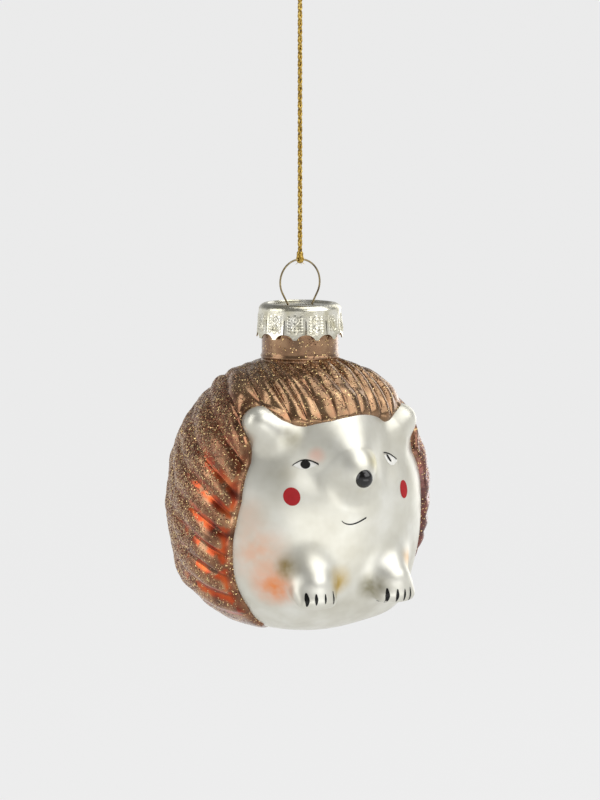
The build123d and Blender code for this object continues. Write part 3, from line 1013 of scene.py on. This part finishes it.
def make_neck():
    """A lacquered sleeve on the glass neck, with a soft bead at its foot."""
    sleeve, column, row = sheet_grid("neck_lacquer", neck_columns, neck_rows)
    around = 2 * math.pi * column / neck_columns
    up = row / neck_rows
    skin = 0.12
    foot = upper_height - 2.4
    top = upper_height + neck_rise / mm - 1.0
    level = foot + (top - foot) * up
    past_foot = level - upper_height
    bead = 0.32 * np.exp(-(((past_foot - 0.6) / 0.35) ** 2))
    bead += 0.5 * np.clip(1 - (past_foot + 2.4) / 2.6, 0, 1)
    radius = neck_radius + skin * np.sin(math.pi * np.clip(up * 1.02, 0, 1)) ** 0.25 + bead
    places = np.stack([radius * np.cos(around), radius * np.sin(around), level], axis=1)
    reshape(sleeve, places * mm + np.array(body_centre))
    keep_values(sleeve, {"crest": 1.0, "past_hem": 5.0, "brow": 1.0, "orange": 0.0, "mauve": 0.15})
    return sleeve


neck = make_neck()
close_up(neck, 0.004 * mm)
give_body(neck, 0.1 * mm)
bpy.ops.object.shade_smooth()
neck.data.materials.append(coat.data.materials[0])
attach(neck, "glass")

# Painted face
# Eyes, cheeks, mouth, nose and claws are brushed on in enamel, a few hundredths of a millimetre thick.
# Each patch follows the glass under it.
paint_thickness = 0.05 * mm


def enamel(name, code, roughness, shine=0.3):
    """Glossy enamel, brushed on: nearly flat in colour, with faint streaks and a wet shine."""
    material, tree = new_material(name)
    place = put(tree, "TexCoord").outputs["Object"]
    streak = put(tree, "TexNoise", {"Vector": place, "Scale": 1 / (0.8 * mm), "Detail": 2.0})
    darker = [value * 0.75 for value in linear(code)[:3]] + [1.0]
    tone = put(tree, "Mix", {0: streak, 6: darker, 7: linear(code)}, data_type="RGBA").outputs[2]
    shader = put(tree, "BsdfPrincipled", {
        "Base Color": tone, "Roughness": roughness, "Specular IOR Level": shine,
    })
    put(tree, "OutputMaterial", {"Surface": shader})
    return material


black = enamel("black_enamel", "#0B0A08", 0.3)
red = enamel("red_enamel", "#B01A20", 0.5)
white = enamel("white_enamel", "#F6F5EE", 0.4)


def brushed(name, xs, middles, widths, material, layer=1, side=1, across=6):
    """A patch of paint laid on the glass, drawn from the front by its middle line and width in mm."""
    patch, column, row = sheet_grid(name, len(xs) - 1, across)
    x, middle, width = (np.broadcast_to(values, len(xs))[column] for values in (xs, middles, widths))
    z = middle + width * (row / across - 0.5)
    before = np.full(len(x), -front_depth - 12)
    reshape(patch, np.stack([x * side, before, z], axis=1) * mm + np.array(body_centre))
    wrap = patch.modifiers.new("wrap", "SHRINKWRAP")
    wrap.target = shell
    wrap.wrap_method = "PROJECT"
    wrap.use_project_y = True
    wrap.use_positive_direction = True
    wrap.use_negative_direction = False
    wrap.offset = paint_thickness * layer
    bpy.ops.object.modifier_apply(modifier=wrap.name)
    close_up(patch, 0.001 * mm)
    give_body(patch, paint_thickness, 0)
    bpy.ops.object.shade_smooth_by_angle(angle=math.radians(50))
    patch.data.materials.append(material)
    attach(patch, "glass")


share = np.linspace(0, 1, 25)
disc = (1 - np.cos(math.pi * share)) / 2
round_width = np.sqrt(np.maximum(1 - (2 * disc - 1) ** 2, 0))
arch = np.sin(math.pi * share)
brushed("right_eye_white", 13.15 - 5.0 * share, 8.5 + 0.1 * share, 1.9 * arch ** 0.85, white, side=-1)
brushed("right_pupil", 9.55 + 2.05 * disc, 8.6, 1.8 * round_width, black, layer=2, side=-1)
brushed("right_eyelid", 13.3 - 5.3 * share, 8.45 + 0.15 * share + 1.05 * arch ** 0.9,
        0.18 + 0.2 * share + 0.35 * np.clip(share - 0.85, 0, 1), black, layer=3, side=-1, across=2)
brushed("left_eye_white", 8.9 + 3.9 * share, 9.35 - 1.4 * share - 0.45 * arch, 0.25 + 1.9 * arch, white)
brushed("left_pupil", 9.65 + 1.4 * disc, 9.45 - 1.5 * disc, 0.85 * round_width, black, layer=2)
brushed("left_eyelid", 8.8 + 3.9 * share, 10.05 - 1.8 * share + 0.35 * arch, 0.26, black, layer=3, across=2)
brushed("right_cheek", 12.5 + 3.4 * disc, 1.95, 3.9 * round_width, red, side=-1)
brushed("left_cheek", 12.6 + 2.3 * disc, 1.7, 3.9 * round_width, red)
claw_places = {
    "right": (-1, -19.9, ((13.2, 0.95, 3.0), (11.3, 0.75, 2.5), (9.1, 0.5, 2.2), (6.7, 0.35, 2.9))),
    "left": (1, -20.6, ((6.8, 0.95, 3.4), (9.0, 0.75, 2.9), (10.85, 0.5, 2.7), (12.5, 0.4, 3.0))),
}
for word, (side, claw_z, claws) in claw_places.items():
    for toe, (claw_x, claw_width, claw_height) in enumerate(claws):
        brushed(f"{word}_claw_{toe + 1}", claw_x + claw_width * (disc - 0.5), claw_z,
                claw_height * round_width ** 1.6, black, side=side)
brushed("mouth", 6.1 * share - 3.5, 0.3 * share - 3.72 - np.sin(math.pi * share ** 0.75), 0.24 + 0.12 * share,
        black, across=2)

nose_radius = 2.02 * mm
nose_place = body_centre + Vector((0, -27.3, 5.65)) * mm
bpy.ops.mesh.primitive_uv_sphere_add(
    segments=48, ring_count=24, radius=nose_radius, location=nose_place, scale=(1.0, 0.95, 1.02),
)
nose = bpy.context.object
nose.name = "nose"
bpy.ops.object.transform_apply(location=True, rotation=True, scale=True)
bpy.ops.object.shade_smooth()
nose.data.materials.append(enamel("nose_enamel", "#0B0A08", 0.16, 0.6))
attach(nose, "glass")

# Floor, light and world
# A pale seamless floor well below the hanging ornament, and soft boxes round it as in a small studio.
# The floor shows one even pale grey, also in the glass and the metal.
bpy.ops.mesh.primitive_circle_add(vertices=96, radius=40, fill_type="NGON", location=(0, 0, -0.32))
floor = bpy.context.object
floor.name = "floor"
floor_material, floor_tree = new_material("pale_paper")
path = put(floor_tree, "LightPath")
seen = path.outputs["Is Camera Ray"]
for ray in ("Is Glossy Ray", "Is Transmission Ray"):
    seen = put(floor_tree, "Math", {0: seen, 1: path.outputs[ray]}, operation="MAXIMUM")
even = put(floor_tree, "Math", {0: seen, 1: 0.95}, operation="MULTIPLY")
paper = put(floor_tree, "BsdfDiffuse", {"Color": linear("#EEEEEE")})
glow = put(floor_tree, "Emission", {"Color": linear("#EFEFEF"), "Strength": 1.0})
paper = put(floor_tree, "MixShader", {0: even, 1: paper, 2: glow})
put(floor_tree, "OutputMaterial", {"Surface": paper})
floor.data.materials.append(floor_material)

world = bpy.data.worlds.new("studio")
bpy.context.scene.world = world
world.use_nodes = True
world_tree = world.node_tree
way = put(world_tree, "TexCoord").outputs["Generated"]
rise = put(world_tree, "SeparateXYZ", {0: way}).outputs["Z"]
tent = put(world_tree, "ValToRGB", {0: rise}, [(0.0, "#E8E8E8"), (0.4, "#7A7A7A")])
world_tree.links.new(tent.outputs[0], world_tree.nodes["Background"].inputs["Color"])


def soft_box(azimuth, elevation, distance, width, height, power):
    """A rectangular lamp on a stand, turned to the ornament."""
    away = outward(azimuth, elevation)
    bpy.ops.object.light_add(type="AREA", location=body_centre + away * distance)
    lamp = bpy.context.object
    lamp.data.shape = "RECTANGLE"
    lamp.data.size = width
    lamp.data.size_y = height
    lamp.data.energy = power
    lamp.rotation_mode = "QUATERNION"
    lamp.rotation_quaternion = (-away).to_track_quat("-Z", "Y")


soft_box(31, 42, 0.8, 0.9, 0.6, 3.9)
soft_box(80, 74, 0.9, 0.6, 0.6, 2.2)
soft_box(-105, 25, 0.9, 0.5, 0.8, 2.5)
soft_box(120, 15, 0.9, 0.5, 0.8, 1.7)
soft_box(4, -20, 0.5, 0.6, 0.25, 0.7)

bpy.context.scene.view_settings.view_transform = "Standard"
